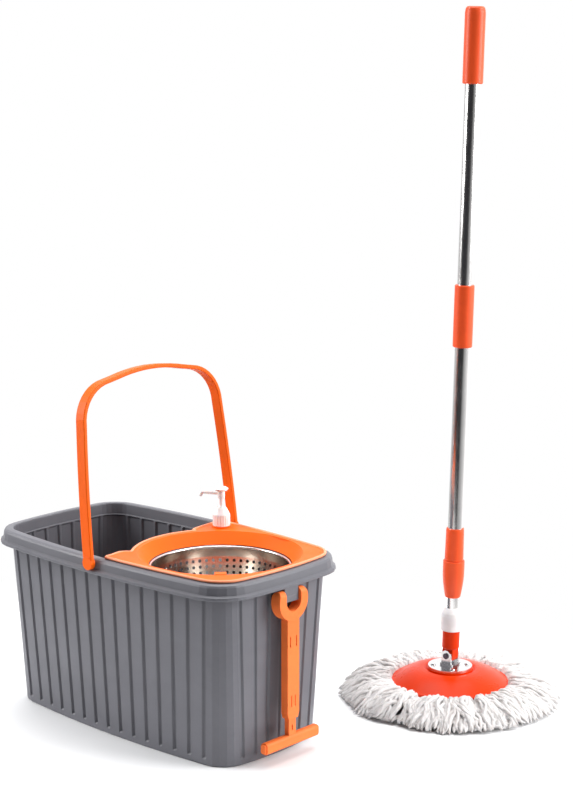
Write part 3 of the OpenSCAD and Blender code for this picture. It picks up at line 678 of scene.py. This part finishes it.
def strands():
    """Twisted yarns in tufts, in place of the plain solid that keeps their space."""
    rng = random.Random(SEED)
    verts, faces, tones_and_shade = [], [], []
    for tuft_index in range(TUFTS):
        tuft = drawn_tuft(rng, tuft_index)
        for index in range(YARNS_PER_TUFT):
            first = len(verts)
            for spot, tone in yarn_surface(drawn_yarn(rng, tuft), index, tuft_index):
                verts.append(spot)
                tones_and_shade.append(tone)
            for ring in range(first, len(verts) - YARN_SIDES, YARN_SIDES):
                for j in range(YARN_SIDES):
                    a, b = ring + j, ring + (j + 1) % YARN_SIDES
                    faces.append((a, b, b + YARN_SIDES, a + YARN_SIDES))
            faces.append(tuple(reversed(range(first, first + YARN_SIDES))))
            faces.append(tuple(range(len(verts) - YARN_SIDES, len(verts))))
    yarns = object_from("microfibre_strands", verts, faces, yarn_mat, sharp=180)
    # The tone attribute holds each vertex's random tone and painted shade.
    attribute = yarns.data.attributes.new("tone", "FLOAT", "POINT")
    attribute.data.foreach_set("value", tones_and_shade)
    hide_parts("mop_strands")
    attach(yarns, "mop_head")


strands()

# ---------- floor, light and camera ----------

FLOOR_R = 0.8
FADE_FROM = 0.5
FADE_TO = FLOOR_R - 0.02
AMBIENT = 0.9
DARK_SIDE = (0.19, -0.98, 0.0)

# From the side away from DARK_SIDE, at 0, to DARK_SIDE itself, at 1.
SKY_STOPS = (
    (0.0, (1.7, 1.7, 1.72)),
    (0.3, (0.9, 0.9, 0.909)),
    (0.55, (0.62, 0.62, 0.6262)),
    (0.74, (0.46, 0.46, 0.4646)),
    (0.86, (0.05, 0.05, 0.0505)),
    (1.0, (0.03, 0.03, 0.035)),
)
MIDDLE = (0.1, 0.1, 0.15)
FLOOR_MIDDLE = (0.1, 0.1, 0.0)
CAMERA_PLACE = (1.85644, -1.74204, 0.94305)
CAMERA_PITCH = math.radians(90 - 10.597)
CAMERA_TURN = math.radians(42.84)
LENS = 82.03


def stage():
    """A pale round floor that fades to plain white away from the object."""
    n = Nodes("pale_floor")
    n.feed(n.mix(n.noise(3.0), (0.90, 0.905, 0.915), (0.93, 0.933, 0.94)), "Base Color")
    n.feed(n.remap(n.noise(14.0), 0.3, 0.7, 0.55, 0.7), "Roughness")
    n.bumps((n.noise(400.0), 0.00001))
    n.set(Specular_IOR_Level=0.1)
    distance = n.tree.nodes.new("ShaderNodeVectorMath")
    distance.operation = "LENGTH"
    n.join((n.coords, "Object"), distance, 0)
    far = n.remap((distance, "Value"), FADE_FROM, FADE_TO, 0.0, 1.0)
    far[0].interpolation_type = "SMOOTHSTEP"
    glow = n.add("ShaderNodeEmission", Color=(1, 1, 1, 1), Strength=1.0)
    both = n.tree.nodes.new("ShaderNodeMixShader")
    n.join(far, both, 0)
    n.join((n.shader, "BSDF"), both, 1)
    n.join((glow, "Emission"), both, 2)
    n.join((both, "Shader"), n.output, "Surface")
    edge = [Vector((x, y, 0)) for x, y in circle(FLOOR_R, 72)]
    floor = object_from("floor", edge, [tuple(range(len(edge)))], n.material)


def sky():
    """A white studio to the camera. As light it is dimmer, and dark towards DARK_SIDE, so that
    bright steel has something dark to show."""
    world = bpy.data.worlds.new("studio")
    bpy.context.scene.world = world
    world.use_nodes = True
    tree = world.node_tree
    tree.nodes.clear()
    output = tree.nodes.new("ShaderNodeOutputWorld")
    coords = tree.nodes.new("ShaderNodeTexCoord")
    towards = tree.nodes.new("ShaderNodeVectorMath")
    towards.operation = "DOT_PRODUCT"
    towards.inputs[1].default_value = DARK_SIDE
    remap = tree.nodes.new("ShaderNodeMapRange")
    remap.inputs["From Min"].default_value = -1.0
    ramp = tree.nodes.new("ShaderNodeValToRGB")
    stops = ramp.color_ramp.elements
    stops[0].color = (*SKY_STOPS[0][1], 1)
    stops[1].color = (*SKY_STOPS[-1][1], 1)
    for position, colour in SKY_STOPS[1:-1]:
        stops.new(position).color = (*colour, 1)
    dim = tree.nodes.new("ShaderNodeBackground")
    dim.inputs["Strength"].default_value = AMBIENT
    white = tree.nodes.new("ShaderNodeBackground")
    white.inputs["Color"].default_value = (1, 1, 1, 1)
    white.inputs["Strength"].default_value = 1.0
    path = tree.nodes.new("ShaderNodeLightPath")
    both = tree.nodes.new("ShaderNodeMixShader")
    tree.links.new(coords.outputs["Generated"], towards.inputs[0])
    tree.links.new(towards.outputs["Value"], remap.inputs["Value"])
    tree.links.new(remap.outputs["Result"], ramp.inputs["Fac"])
    tree.links.new(ramp.outputs["Color"], dim.inputs["Color"])
    tree.links.new(path.outputs["Is Camera Ray"], both.inputs[0])
    tree.links.new(dim.outputs["Background"], both.inputs[1])
    tree.links.new(white.outputs["Background"], both.inputs[2])
    tree.links.new(both.outputs["Shader"], output.inputs["Surface"])


def softbox(name, place, target, size, power):
    """A rectangular studio light of a size in metres and a power in watts, aimed at a target."""
    light = bpy.data.lights.new(name, "AREA")
    light.shape = "RECTANGLE"
    light.size, light.size_y = size
    light.energy = power
    lamp = bpy.data.objects.new(name, light)
    bpy.context.scene.collection.objects.link(lamp)
    lamp.location = place
    aim = Vector(target) - Vector(place)
    lamp.rotation_euler = aim.to_track_quat("-Z", "Y").to_euler()


stage()
sky()
softbox("left_box", place=(-2.2, -1.9, 1.5), target=MIDDLE, size=(1.6, 2.2), power=96.0)
softbox("right_box", place=(2.6, 1.55, 1.4), target=MIDDLE, size=(1.6, 2.2), power=96.0)
softbox("top_box", place=(-0.3, 0.6, 3.2), target=FLOOR_MIDDLE, size=(2.4, 2.4), power=88.0)

eye = bpy.data.cameras.new("camera")
eye.lens = LENS
eye.sensor_width = 36.0
eye.clip_end = 60.0
camera = bpy.data.objects.new("camera", eye)
bpy.context.scene.collection.objects.link(camera)
camera.location = CAMERA_PLACE
camera.rotation_euler = (CAMERA_PITCH, 0.0, CAMERA_TURN)
bpy.context.scene.camera = camera
bpy.context.scene.view_settings.view_transform = "Standard"
